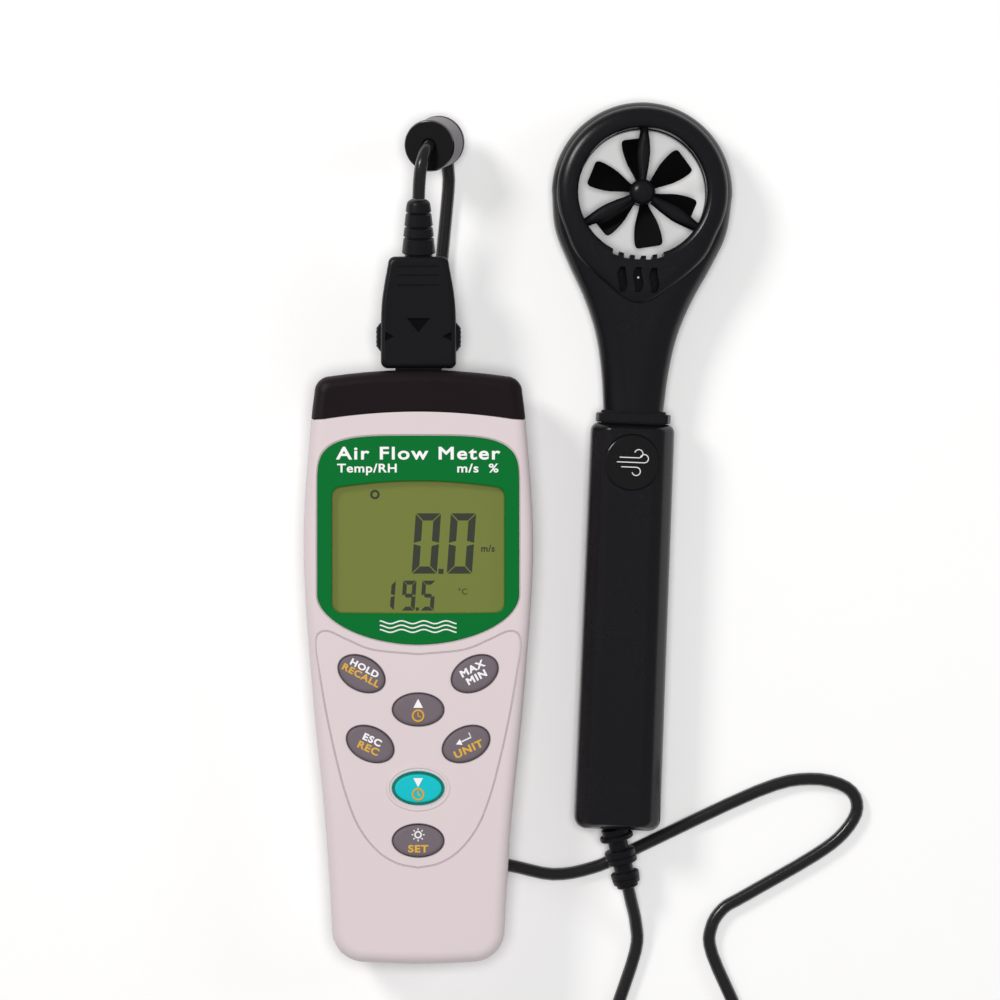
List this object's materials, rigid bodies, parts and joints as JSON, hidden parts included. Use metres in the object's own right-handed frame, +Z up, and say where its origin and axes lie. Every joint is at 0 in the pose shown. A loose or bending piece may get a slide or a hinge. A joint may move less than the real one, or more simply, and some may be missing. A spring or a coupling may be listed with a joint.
{
  "type": "vane anemometer",
  "caption": "Hand-held vane anemometer: a white meter with a display and oval keys, and a separate black vane probe on a plug-in lead with a choke.",
  "frame": {"origin": "middle of the box of the meter and the probe as they lie, at the height of the table", "axes": "+Y towards the meter's plug and the vane, +Z up from the table and out of the display"},
  "size_m": [0.1772, 0.3435, 0.0343],
  "materials": {
    "case_white": "fine matt texture, warm white ABS",
    "satin_black": "satin black moulding",
    "probe_black": "satin to semi-gloss black moulding",
    "vane_black": "matt black moulding",
    "badge_black": "gloss black with a printed outline",
    "label_green": "semi-gloss printed green film",
    "window_clear": "clear hard-coated window",
    "display_olive": "reflective liquid crystal, olive ground",
    "backlight_white": "white backlight frame",
    "key_grey": "silicone key, mauve grey",
    "key_teal": "silicone key, teal",
    "board_green": "circuit board with solder mask",
    "mat_rubber": "silicone contact mat",
    "sensor_white": "white sensor shell",
    "steel": "plated steel",
    "brass": "plated brass",
    "cell_wrap": "shrink wrap",
    "ferrite": "sintered ferrite",
    "sleeve_grey": "ribbed grey moulding",
    "cord_black": "glossy black PVC sheath"
  },
  "bodies": {
    "meter_and_probe": {"front_shell": "case_white", "back_shell": "case_white", "top_cap": "satin_black", "lead_socket": "satin_black", "buzzer": "satin_black", "plug_front_shell": "satin_black", "plug_back_shell": "satin_black", "plug_relief": "satin_black", "probe_relief": "satin_black", "choke_cap_front": "satin_black", "choke_cap_rear": "satin_black", "head_front_shell": "probe_black", "head_back_shell": "probe_black", "handle_front_shell": "probe_black", "handle_back_shell": "probe_black", "neck_collar": "probe_black", "vane_bezel": "probe_black", "cage_front": "probe_black", "cage_rear": "probe_black", "handle_badge": "badge_black", "label_panel": "label_green", "window_lens": "window_clear", "lcd_module": "display_olive", "lcd_backlight": "backlight_white", "main_board": "board_green", "probe_board": "board_green", "keypad_mat": "mat_rubber", "humidity_sensor": "sensor_white", "case_screw_1": "steel", "case_screw_2": "steel", "case_screw_3": "steel", "case_screw_4": "steel", "handle_screw": "steel", "contact_lower": "brass", "contact_upper": "brass", "plug_contacts": "brass", "bearing_front": "brass", "bearing_rear": "brass", "battery_1": "cell_wrap", "battery_2": "cell_wrap", "battery_3": "cell_wrap", "battery_4": "cell_wrap", "choke_core": "ferrite", "speed_sensor": "ferrite", "choke_sleeve": "sleeve_grey", "cord_probe": "cord_black", "cord_meter": "cord_black", "cord_coil": "cord_black"},
    "impeller_body": {"impeller": "vane_black", "axle": "steel"},
    "battery_door_body": {"battery_door": "case_white"},
    "latch_left_body": {"latch_left": "satin_black"},
    "latch_right_body": {"latch_right": "satin_black"},
    "key_hold_body": {"key_hold": "key_grey"},
    "key_max_body": {"key_max": "key_grey"},
    "key_up_body": {"key_up": "key_grey"},
    "key_escape_body": {"key_escape": "key_grey"},
    "key_enter_body": {"key_enter": "key_grey"},
    "key_power_body": {"key_power": "key_teal"},
    "key_light_body": {"key_light": "key_grey"}
  },
  "joints": [
    {"name": "impeller_spin", "type": "hinge", "parent": "meter_and_probe", "child": "impeller_body", "pos_m": [0.03915, 0.10725, 0.01], "axis": [0, 0, 1], "continuous": true},
    {"name": "key_hold_press", "type": "slide", "parent": "meter_and_probe", "child": "key_hold_body", "axis": [0, 0, -1], "range_m": [0, 0.0009], "stiffness_N_per_m": 600},
    {"name": "key_max_press", "type": "slide", "parent": "meter_and_probe", "child": "key_max_body", "axis": [0, 0, -1], "range_m": [0, 0.0009], "stiffness_N_per_m": 600},
    {"name": "key_up_press", "type": "slide", "parent": "meter_and_probe", "child": "key_up_body", "axis": [0, 0, -1], "range_m": [0, 0.0009], "stiffness_N_per_m": 600},
    {"name": "key_escape_press", "type": "slide", "parent": "meter_and_probe", "child": "key_escape_body", "axis": [0, 0, -1], "range_m": [0, 0.0009], "stiffness_N_per_m": 600},
    {"name": "key_enter_press", "type": "slide", "parent": "meter_and_probe", "child": "key_enter_body", "axis": [0, 0, -1], "range_m": [0, 0.0009], "stiffness_N_per_m": 600},
    {"name": "key_power_press", "type": "slide", "parent": "meter_and_probe", "child": "key_power_body", "axis": [0, 0, -1], "range_m": [0, 0.0009], "stiffness_N_per_m": 600},
    {"name": "key_light_press", "type": "slide", "parent": "meter_and_probe", "child": "key_light_body", "axis": [0, 0, -1], "range_m": [0, 0.0009], "stiffness_N_per_m": 600},
    {"name": "latch_left_squeeze", "type": "slide", "parent": "meter_and_probe", "child": "latch_left_body", "axis": [1, 0, 0], "range_m": [0, 0.0008], "stiffness_N_per_m": 1500},
    {"name": "latch_right_squeeze", "type": "slide", "parent": "meter_and_probe", "child": "latch_right_body", "axis": [-1, 0, 0], "range_m": [0, 0.0008], "stiffness_N_per_m": 1500},
    {"name": "battery_door_slide", "type": "slide", "parent": "meter_and_probe", "child": "battery_door_body", "axis": [0, -1, 0], "range_m": [0, 0.006]}
  ]
}
